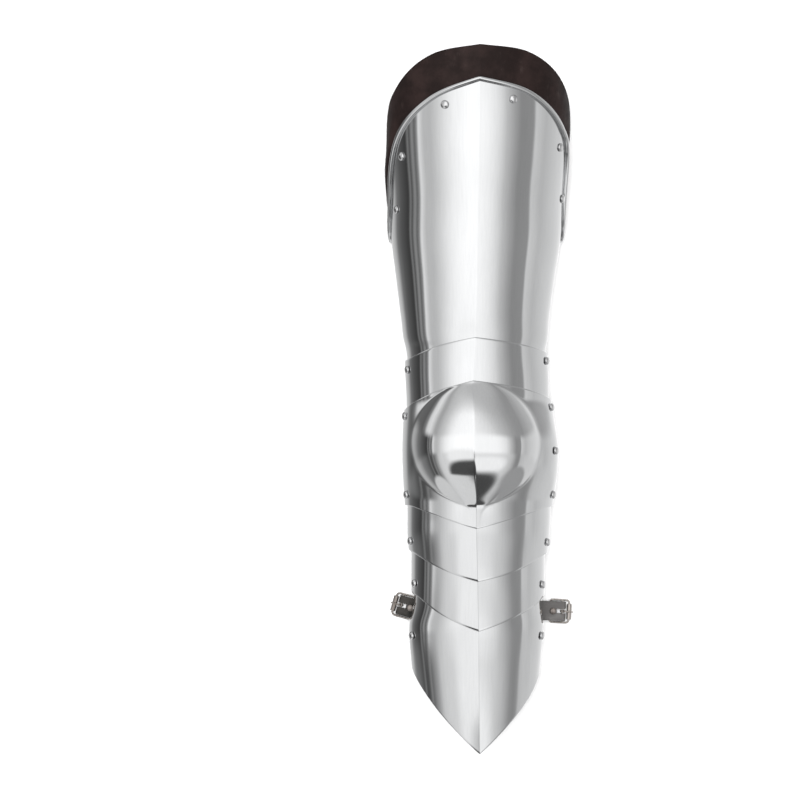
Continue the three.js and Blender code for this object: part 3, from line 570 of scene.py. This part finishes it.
def steel_material(name, dark, light, rough_low, rough_high, streaks, dents, lean=None):
    """Polished steel with fine streaks along the leg and a faint unevenness from the hammer.

    lean says by how many degrees the surface leans towards the shin, between two places along the leg, mm in
    the frame: (y at one end, degrees there, y at the other, degrees there).
    """
    material, graph, shader, where = new_material(name)
    brushed = graph.noise(graph.scaled(where, (1, 0.02, 1)), 700, 2)
    clouds = graph.noise(graph.scaled(where, (1, 0.4, 1)), 22, 4)
    both = graph.math("ADD", graph.math("MULTIPLY", brushed, 0.3), graph.math("MULTIPLY", clouds, 0.7))
    graph.join(graph.tint(graph.ease(both, 0.3, 0.7), dark, light), shader.inputs["Base Color"])
    shader.inputs["Metallic"].default_value = 1.0
    graph.join(graph.spread(both, 0.3, 0.7, rough_high, rough_low), shader.inputs["Roughness"])
    swell = graph.bump(graph.noise(graph.scaled(where, (1, 0.35, 1)), 30, 2), 1.0, dents)
    if lean:
        start, start_lean, end, end_lean = lean
        apart = graph.node("ShaderNodeSeparateXYZ")
        graph.join(where, apart.inputs[0])
        reach = graph.math("SUBTRACT", apart.outputs[1], start * MM)
        rate = math.radians(end_lean - start_lean) / ((end - start) * MM) / 2
        slope = graph.math("ADD", graph.math("MULTIPLY", reach, rate), math.radians(start_lean))
        swell = graph.bump(graph.math("MULTIPLY", reach, slope), 1.0, 1.0, swell)
    graph.join(graph.bump(brushed, 1.0, streaks, swell), shader.inputs["Normal"])
    return material


def leather_material(name, dark, light, worn, rough):
    """Dark leather with a fine grain, cloudy dye and rubbed places."""
    material, graph, shader, where = new_material(name)
    clouds = graph.noise(where, 38, 5, 0.62)
    grain = graph.noise(where, 900, 3, 0.6)
    rubbed = graph.noise(graph.scaled(where, (1, 0.5, 1)), 95, 6, 0.7)
    colour = graph.tint(graph.ease(clouds, 0.35, 0.68), dark, light)
    colour = graph.tint(graph.ease(rubbed, 0.58, 0.78, 0.0, 0.55), colour, worn)
    graph.join(colour, shader.inputs["Base Color"])
    graph.join(graph.spread(rubbed, 0.3, 0.75, rough + 0.1, rough - 0.12), shader.inputs["Roughness"])
    shader.inputs["Specular IOR Level"].default_value = 0.12
    creases = graph.bump(rubbed, 0.5, 0.0006)
    graph.join(graph.bump(grain, 0.5, 0.00012, creases), shader.inputs["Normal"])
    return material


STEEL_COLOURS = ((0.60, 0.605, 0.61), (0.645, 0.65, 0.655))
STEEL_LEAN = {
    "thigh": (200, 0, 40, -2.5),
    "upper_lame": None,
    "knee": None,
    "lower_lame_1": (-105, 5.5, -165, 3),
    "lower_lame_2": (-140, 3, -215, 2),
    "shin": (-160, 1, -330, 0),
}
plate_steels = {
    key: steel_material(f"{key}_steel", *STEEL_COLOURS, 0.05, 0.1, 6e-7, 7e-5, lean)
    for key, lean in STEEL_LEAN.items()
}
bright_steel = steel_material(
    "bright_steel", (0.56, 0.56, 0.565), (0.66, 0.66, 0.665), 0.07, 0.14, 5e-7, 1e-5
)
antique_metal = steel_material(
    "antique_metal", (0.16, 0.135, 0.12), (0.66, 0.62, 0.58), 0.22, 0.42, 5e-6, 6e-5
)
dull_rivet = steel_material("dull_rivet", (0.2, 0.17, 0.155), (0.44, 0.4, 0.37), 0.35, 0.5, 4e-6, 3e-5)
tab_leather = leather_material(
    "tab_leather", (0.010, 0.006, 0.0055), (0.02, 0.012, 0.011), (0.05, 0.036, 0.033), 0.5
)
# Two copies of one strap leather: the outer strap's is painted lighter as a painted sheen, and the inner
# strap's is painted darker as painted shade.
strap_leather = leather_material(
    "strap_leather", (0.09, 0.086, 0.084), (0.17, 0.165, 0.16), (0.26, 0.25, 0.24), 0.42
)
inner_strap_leather = leather_material(
    "inner_strap_leather", (0.014, 0.014, 0.013), (0.04, 0.037, 0.034), (0.1, 0.085, 0.075), 0.45
)


# Plates

def rim_mesh():
    """The rolled rim along the thigh plate's upper edge."""
    steps = 220 if FINE else 60
    turn = RIM_SHARE * np.linspace(-1, 1, steps + 1)
    turn = np.sign(turn) * np.abs(turn) ** 1.2
    points = plate_points("thigh", turn, edge_at(EDGES["thigh"]["head"], turn), -RIM_STAND)
    return tube_mesh(points, RIM_RADIUS, 20 if FINE else 8)


PLATES = {
    "thigh": ("thigh_plate", 120),
    "upper_lame": ("upper_lame", 36),
    "knee": ("knee_plate", 120),
    "lower_lame_1": ("lower_lame_1", 40),
    "lower_lame_2": ("lower_lame_2", 40),
    "shin": ("shin_plate", 90),
}
for key, (node, rows) in PLATES.items():
    shell = plate_mesh(key, EDGES[key], rows if FINE else rows // 4)
    if key == "thigh":
        shell = joined(shell, rim_mesh())
    add_piece(f"{node}_shell", *shell, plate_steels[key], "steel_plate", node)

tab_shell = plate_mesh("thigh", EDGES["tab"], 60 if FINE else 16, TAB_INSET, LEATHER, flared=True)
add_piece("thigh_tab_hide", *tab_shell, tab_leather, "tab_leather", "thigh_tab")


# Rivets

def add_rivet(node, size, grip, direction, seat, metal=bright_steel):
    mesh = aimed(rivet_mesh(size, grip), direction, seat)
    add_piece(f"{node}_head", *mesh, metal, "bright_steel", node, 50)


for name, (inner_y, outer_y, z, over, under) in PIVOTS.items():
    walls = {}
    for side, y in ((-1, inner_y), (1, outer_y)):
        walls[side] = plate_points(over, turn_at(over, side, y, "z", z), y, 0)
    for side, suffix in ((-1, "inner"), (1, "outer")):
        wall = walls[side]
        beneath = plate_points(under, turn_at(under, side, wall[1], "z", z), wall[1], STEEL)
        direction = plate_normal(over, turn_at(over, side, wall[1], "z", z), wall[1])
        direction = direction + plate_normal(under, turn_at(under, side, wall[1], "z", z), wall[1])
        direction /= np.linalg.norm(direction)
        grip = (wall - beneath) @ direction + 2 * (CLEAR + LEAN) + PIVOT_PLAY
        add_rivet(f"{name}_{suffix}", RIVET, grip, direction, wall + direction * (CLEAR + LEAN))

for number, (x, y) in enumerate(TAB_RIVETS, 1):
    turn = turn_at("thigh", math.copysign(1, x), y, "x", x)
    direction = plate_normal("thigh", turn, y)
    grip = TAB_INSET + LEATHER + 2 * (CLEAR + LEAN)
    seat = plate_points("thigh", turn, y, 0) + direction * CLEAR
    add_rivet(f"tab_rivet_{number}", RIVET, grip, direction, seat)


def add_wall_rivet(node, key, side, y, z, under):
    """A rivet through a plate's side wall, which also grips what lies under to the given depth."""
    turn = turn_at(key, side, y, "z", z)
    direction = plate_normal(key, turn, y)
    seat = plate_points(key, turn, y, 0) + direction * (CLEAR + LEAN)
    add_rivet(node, RIVET, under + 2 * (CLEAR + LEAN), direction, seat)


add_wall_rivet("knee_side_rivet", "knee", 1, KNEE_SIDE_RIVET["y"], KNEE_SIDE_RIVET["z"], STEEL)


# Strap stubs and buckles

def strap_path(stub):
    """Middles, directions across and of thickness along one strap stub, and where its buckle lies."""
    side, edge_y = stub["side"], stub["edge_y"]

    def inside_of(middle, z):
        walls = [
            abs(plate_points("shin", turn_at("shin", side, y, "z", z), y, STEEL)[0])
            for y in (middle - STRAP_WIDTH / 2, middle + STRAP_WIDTH / 2)
        ]
        return min(walls) - STRAP_GAP - STRAP / 2

    turn = math.radians(stub["turn"])
    path = []

    def put(x, y, z, across, thick_out, thick_up):
        thick = np.array([side * math.cos(turn) * thick_out, math.sin(turn) * thick_out, thick_up])
        path.append((np.array([side * x, y, z]), np.array(across), thick / np.linalg.norm(thick)))

    square = (0.0, -side, 0.0)
    for y, z, inwards in STRAP_INSIDE:
        put(inside_of(edge_y + y, z) - inwards, edge_y + y, z, square, 1, 0)
    last = abs(path[-1][0][0])
    for out, z, thick_out, thick_up in STRAP_BEND:
        put(last + out, edge_y, z, square, thick_out, thick_up)
    across = (math.sin(turn), -side * math.cos(turn), 0.0)
    straight = last + STRAP_STRAIGHT
    reach = (stub["reach"] - straight) / math.cos(turn)

    def out_at(s, z, thick_out, thick_up):
        put(straight + s * math.cos(turn), edge_y + s * math.sin(turn), z, across, thick_out, thick_up)

    fold = BUCKLE["bar_z"] - FLOOR_GAP - STRAP / 2
    out_at(0, BUCKLE["bar_z"] + fold, 0, 1)
    for k in range(FOLD["steps"] + 1):
        angle = math.pi * k / FOLD["steps"]
        over, up = math.sin(angle), math.cos(angle)
        out_at(reach + fold * over, BUCKLE["bar_z"] + fold * up, over, up)
    out_at(reach - FOLD["back"], BUCKLE["bar_z"] - fold, 0, -1)
    bar = np.array([side * stub["reach"], edge_y + reach * math.sin(turn), BUCKLE["bar_z"]])
    inwards = np.array([-side * math.cos(turn), -math.sin(turn), 0])
    return path, bar, inwards, BUCKLE["bar_z"] + fold + STRAP / 2


def strap_mesh(path, bar, heading):
    """The strap as a sheet between two grids, open where the prong's slot lies over the buckle's bar."""
    stops = np.concatenate([[0], np.cumsum([np.linalg.norm(b[0] - a[0]) for a, b in zip(path, path[1:])])])
    fine = np.linspace(0, stops[-1], 120 if FINE else 50)
    middle, across, thick = (
        np.stack([np.interp(fine, stops, [row[k][axis] for row in path]) for axis in range(3)], -1)
        for k in range(3)
    )
    across /= np.linalg.norm(across, axis=1, keepdims=True)
    thick /= np.linalg.norm(thick, axis=1, keepdims=True)
    slot_half = SLOT["width"] / 2
    beside = [slot_half, 4, 6, STRAP_WIDTH / 2 - 0.5, STRAP_WIDTH / 2]
    places = np.array([*(-place_across for place_across in reversed(beside)), 0, *beside])
    soft = np.where(np.abs(places) > STRAP_WIDTH / 2 - 0.1, 0.55, 1.0)
    grids = []
    for face in (0.5, -0.5):
        grids.append(
            middle[None]
            + places[:, None, None] * across[None]
            + face * STRAP * soft[:, None, None] * thick[None]
        )
    columns, rows = grids[0].shape[:2]
    count = columns * rows
    away = np.abs((middle - bar) @ heading)
    open_row = (away < SLOT["length"] / 2) & (middle[:, 2] > 0)
    keep = np.ones((columns - 1, rows - 1), bool)
    slot_columns = [k for k in range(columns - 1) if abs(places[k] + places[k + 1]) / 2 < slot_half]
    for k in slot_columns:
        keep[k] = ~(open_row[:-1] & open_row[1:])
    ids = np.arange(count).reshape(columns, rows)
    faces = []
    for i in range(columns - 1):
        for j in range(rows - 1):
            if not keep[i, j]:
                continue
            a, b, c, d = ids[i, j], ids[i + 1, j], ids[i + 1, j + 1], ids[i, j + 1]
            faces += [[a, b, c, d], [a + count, d + count, c + count, b + count]]
            neighbours = [(i, j - 1, a, b), (i + 1, j, b, c), (i, j + 1, c, d), (i - 1, j, d, a)]
            for ni, nj, start, end in neighbours:
                inside = 0 <= ni < columns - 1 and 0 <= nj < rows - 1
                if not (inside and keep[ni, nj]):
                    faces.append([start, start + count, end + count, end])
    return np.concatenate([grids[0].reshape(-1, 3), grids[1].reshape(-1, 3)]), faces


def frame_mesh(left, right, half_y):
    """The buckle's outer frame: a round wire with rounded corners."""
    corner, steps = BUCKLE["corner"], 6
    points = []
    corners = (
        (right - corner, half_y - corner, 0),
        (left + corner, half_y - corner, 90),
        (left + corner, corner - half_y, 180),
        (right - corner, corner - half_y, 270),
    )
    for x, y, start in corners:
        for k in range(steps + 1):
            angle = math.radians(start + 90 * k / steps)
            points.append([x + corner * math.cos(angle), y + corner * math.sin(angle), 0])
    return tube_mesh(points, BUCKLE["wire"], WIRE_SIDES, closed=True)


def ring_mesh(outer, inner, length, sides):
    """A short tube along Y with a bore and softened ends."""
    soft = min(0.25, (outer - inner) / 3)
    half = length / 2
    profile = [
        (inner, -half),
        (outer - soft, -half),
        (outer, -half + soft),
        (outer, half - soft),
        (outer - soft, half),
        (inner, half),
    ]
    vertices = []
    for r, y in profile:
        for s in range(sides):
            angle = 2 * math.pi * s / sides
            vertices.append([r * math.cos(angle), y, r * math.sin(angle)])
    faces = []
    for k in range(len(profile)):
        ahead = (k + 1) % len(profile)
        for s in range(sides):
            t = (s + 1) % sides
            faces.append([k * sides + s, ahead * sides + s, ahead * sides + t, k * sides + t])
    return np.array(vertices, float), faces


def turned(mesh, angle, x, seat):
    """Moves a mesh along x, turns it about Z and puts it at its seat."""
    vertices, faces = mesh
    turn = np.array(Matrix.Rotation(angle, 3, "Z"))
    return (vertices + np.array([x, 0, 0])) @ turn.T + seat, faces


for name, stub in STUBS.items():
    path, bar, inwards, top_face = strap_path(stub)
    add_wall_rivet(
        f"{name}_strap_hold", "shin", stub["side"], STRAP_HOLD["y"], STRAP_HOLD["z"], STRAP_HOLD["under"]
    )
    strap = strap_mesh(path, bar, inwards)
    # The outer strap gets the copy with painted sheen, and the inner strap gets the copy with painted shade.
    hide = strap_leather if stub["side"] > 0 else inner_strap_leather
    add_piece(f"{name}_strap_hide", *strap, hide, "strap_leather", f"{name}_strap", 50)
    rivet_seat = bar + inwards * FOLD["rivet"]
    rivet_seat[2] = top_face + CLEAR
    grip = rivet_seat[2] - FLOOR_GAP - 2 * CLEAR
    add_rivet(f"{name}_strap_rivet", STRAP_RIVET, grip, (0, 0, 1), rivet_seat, dull_rivet)

    half = BUCKLE["width"] / 2 - BUCKLE["wire"]
    left = BUCKLE["reach"] - BUCKLE["length"] + 2 * BUCKLE["wire"]
    angle = math.radians(stub["turn"]) if stub["side"] > 0 else math.pi - math.radians(stub["turn"])
    centre_bar = tube_mesh([[0, -half, 0], [0, 0, 0], [0, half, 0]], BUCKLE["wire"], WIRE_SIDES)
    frame_wire = joined(frame_mesh(left, BUCKLE["reach"], half), centre_bar)
    roller_length = 2 * (half - BUCKLE["corner"] - ROLLER["end_gap"])
    roller = ring_mesh(ROLLER["radius"], ROLLER["bore"], roller_length, 32)
    tongue = [[out, 0, PRONG["rise"] - under] for out, under, _ in TONGUE]
    prong = joined(
        ring_mesh(PRONG["loop"], PRONG["bore"], PRONG["width"], 28),
        tube_mesh(tongue, PRONG["thick"] / 2 + 0.1, WIRE_SIDES, tapers=[share for *_, share in TONGUE]),
    )
    for node, mesh, x in (
        ("buckle_frame", frame_wire, 0),
        ("buckle_roller", roller, BUCKLE["reach"]),
        ("buckle_prong", prong, 0),
    ):
        full = f"{name}_{node}"
        add_piece(f"{full}_metal", *turned(mesh, angle, x, bar), antique_metal, "bright_steel", full, 40)


# Studio: floor, reflected surroundings, lights and camera

FLOOR_SIZE = 12


def stage_square(name, size, material):
    """A level square of the stage at z = 0, round the frame's origin."""
    mesh = bpy.data.meshes.new(name)
    reach = size / 2
    corners = [(-reach, -reach, 0), (reach, -reach, 0), (reach, reach, 0), (-reach, reach, 0)]
    mesh.from_pydata(corners, [], [(0, 1, 2, 3)])
    mesh.materials.append(material)
    square = bpy.data.objects.new(name, mesh)
    bpy.context.scene.collection.objects.link(square)
    return square


floor_paint, floor_graph, floor_shader, floor_where = new_material("studio_floor")
floor_clouds = floor_graph.noise(floor_where, 3.0, 2)
floor_tint = floor_graph.tint(floor_clouds, (0.86, 0.86, 0.86), (0.88, 0.88, 0.88))
floor_graph.join(floor_tint, floor_shader.inputs["Base Color"])
floor_shader.inputs["Roughness"].default_value = 0.9
floor_shader.inputs["Specular IOR Level"].default_value = 0.1
floor = stage_square("studio_floor", FLOOR_SIZE, floor_paint)
floor.visible_glossy = False

# The studio round the harness as the steel sees it. Directions are in degrees: across the leg all the way
# round from straight up, and along it from level to the thigh end (+90) and the shin end (-90). Each profile
# gives the brightness by degrees across: towards the thigh, in the middle and towards the shin.
TOWARDS_THIGH = [
    (-180, 0.95), (-152, 0.8), (-140, 0.2), (-118, 0.16), (-108, 0.32), (-99, 1.0), (-88, 1.1),
    (-78, 0.82), (-70, 0.58), (-63, 0.55), (-54, 0.7), (-45, 0.84), (-39, 1.0), (-33, 1.2), (-27, 1.42),
    (-12, 1.6), (12, 1.5), (17, 1.36), (21, 1.12), (25, 0.88), (30, 0.72), (36, 0.62), (45, 0.5),
    (57, 0.44), (78, 0.43), (86, 0.5), (98, 0.56), (110, 0.64), (124, 0.7), (136, 1.05), (150, 1.35),
    (175, 1.6),
]
MIDDLE = [
    (-180, 0.8), (-150, 0.72), (-138, 0.6), (-126, 0.25), (-112, 0.14), (-93, 0.06), (-89, 0.3),
    (-86, 0.1), (-81, 0.4), (-77, 0.16), (-73.2, 0.4), (-71, 1.15), (-68, 0.95), (-64, 0.74),
    (-56, 0.74), (-51, 0.86), (-45, 1.04), (-39, 1.24), (-33, 1.4), (-22, 1.6), (-4, 1.6), (22, 1.46),
    (28, 1.28), (33, 1.06), (38, 0.76), (45, 0.52), (51, 0.37), (65, 0.4), (67.5, 0.88), (82, 0.72),
    (100, 0.86), (175, 1.25),
]
TOWARDS_SHIN = [
    (-180, 0.9), (-150, 0.8), (-132, 0.6), (-118, 0.3), (-104, 0.22), (-92, 0.12), (-87, 0.26),
    (-84, 0.1), (-78, 0.12), (-73, 0.32), (-70, 0.2), (-66, 0.33), (-60, 0.52), (-54, 0.84),
    (-48, 0.94), (-40, 0.98), (-24, 0.96), (-16, 0.88), (12, 0.84), (18, 0.88), (30, 0.95), (36, 0.88),
    (42, 0.76), (48, 0.58), (54, 0.4), (60, 0.35), (65, 0.42), (69, 0.7), (76, 0.78), (96, 0.86),
    (140, 0.9), (175, 1.1),
]
TO_SHIN = (-9, -17)  # degrees along over which the middle profile gives way to the one towards the shin
TO_THIGH = (7, 16)
BRIGHTEST = 2.0
CUT_SOFT = 1.5  # degrees each side of a shape's lowest line over which it fades
# Dark and light shapes: middle across and along, half sizes across and along, lowest along, softness and
# brightness
SHAPES = [
    (17, -27, 16, 12, -90, 0.4, 1.35),
    (-22, -18, 13, 10, -90, 0.45, 1.3),
    (0, 74, 65, 30, -90, 0.4, 0.72),
    (92, -45, 52, 17, -90, 0.16, 0.46),
    (-100, -58, 46, 19, -90, 0.12, 0.88),
    (-12, -42, 27, 20, -42, 0.16, 0.1),
    (-11, -45, 9, 16, -90, 0.3, 0.06),
    (18, -58, 18, 22, -74, 0.2, 0.09),
    (0, -16, 1.5, 7, -90, 0.3, 0.3),
]
NEAR_LEVEL = (68, 80, 0.22)  # from and to along, and the brightness beyond


def sky_profile(graph, across, stops):
    """Brightness by degrees across, as a share of BRIGHTEST."""
    ramp = graph.node("ShaderNodeValToRGB")
    graph.join(graph.spread(across, -180, 180, 0, 1), ramp.inputs["Fac"])
    elements = ramp.color_ramp.elements
    for k, (degrees, brightness) in enumerate(stops):
        place_on = (degrees + 180) / 360
        element = elements[k] if k < 2 else elements.new(place_on)
        element.position = place_on
        element.color = (*[brightness / BRIGHTEST] * 3, 1)
    return ramp.outputs["Color"]


def mixed(graph, factor, first, second):
    """A number between two others."""
    mixer = graph.node("ShaderNodeMix")
    for socket, value in zip(mixer.inputs[:1] + mixer.inputs[2:4], (factor, first, second)):
        graph.put(socket, value)
    return mixer.outputs[0]


def build_world():
    """The world's brightness as a function of direction."""
    world = bpy.data.worlds.new("studio")
    world.use_nodes = True
    graph = Graph(world.node_tree)
    apart = graph.node("ShaderNodeSeparateXYZ")
    graph.join(graph.node("ShaderNodeTexCoord").outputs["Generated"], apart.inputs[0])
    x, y, z = apart.outputs
    across = graph.math("MULTIPLY", graph.math("ARCTAN2", x, z), 180 / math.pi)
    along = graph.math("MULTIPLY", graph.math("ARCSINE", y), 180 / math.pi)
    level = sky_profile(graph, across, MIDDLE)
    for (start, end), profile in ((TO_SHIN, TOWARDS_SHIN), (TO_THIGH, TOWARDS_THIGH)):
        level = mixed(graph, graph.ease(along, start, end), level, sky_profile(graph, across, profile))
    level = graph.math("MULTIPLY", level, BRIGHTEST)
    for middle, centre, half, reach, lowest, soft, brightness in SHAPES:
        aside = graph.math("DIVIDE", graph.math("SUBTRACT", across, middle), half)
        ahead = graph.math("DIVIDE", graph.math("SUBTRACT", along, centre), reach)
        squares = [graph.math("MULTIPLY", share, share) for share in (aside, ahead)]
        away = graph.math("SQRT", graph.math("ADD", *squares))
        mask = graph.ease(away, 1 + soft, 1 - soft)
        mask = graph.math("MULTIPLY", mask, graph.ease(along, lowest - CUT_SOFT, lowest + CUT_SOFT))
        level = mixed(graph, mask, level, brightness)
    start, end, dim = NEAR_LEVEL
    level = mixed(graph, graph.ease(graph.math("ABSOLUTE", along), start, end), level, dim)
    background = graph.node("ShaderNodeBackground")
    graph.join(level, background.inputs["Strength"])
    background.inputs["Color"].default_value = (1, 1, 1, 1)
    graph.join(background.outputs[0], graph.node("ShaderNodeOutputWorld").inputs[0])
    bpy.context.scene.world = world


build_world()


def add_light(name, place_at, look_at, size, power):
    """A soft round light that lights the scene but isn't mirrored by the steel."""
    lamp = bpy.data.lights.new(name, "AREA")
    lamp.shape = "DISK"
    lamp.size = size
    lamp.energy = power
    light = bpy.data.objects.new(name, lamp)
    light.location = place_at
    light.rotation_euler = (Vector(look_at) - Vector(place_at)).to_track_quat("-Z", "Y").to_euler()
    light.visible_glossy = False
    bpy.context.scene.collection.objects.link(light)


add_light("overhead_light", (-0.08, 0.1, 2.6), (-0.08, 0, 0), 1.8, 62)
add_light("side_light", (-1.0, 0.9, 1.8), (0, 0, 0), 1.2, 12)

CAMERA_PLACE = (-0.0795, 0.00525, 2.2)
CAMERA_LENS = 103.1
camera_data = bpy.data.cameras.new("photo_camera")
camera_data.sensor_width = 36
camera_data.lens = CAMERA_LENS
camera_data.clip_end = 50
camera = bpy.data.objects.new("photo_camera", camera_data)
camera.location = CAMERA_PLACE
bpy.context.scene.collection.objects.link(camera)
bpy.context.scene.camera = camera
bpy.context.scene.view_settings.view_transform = "Standard"
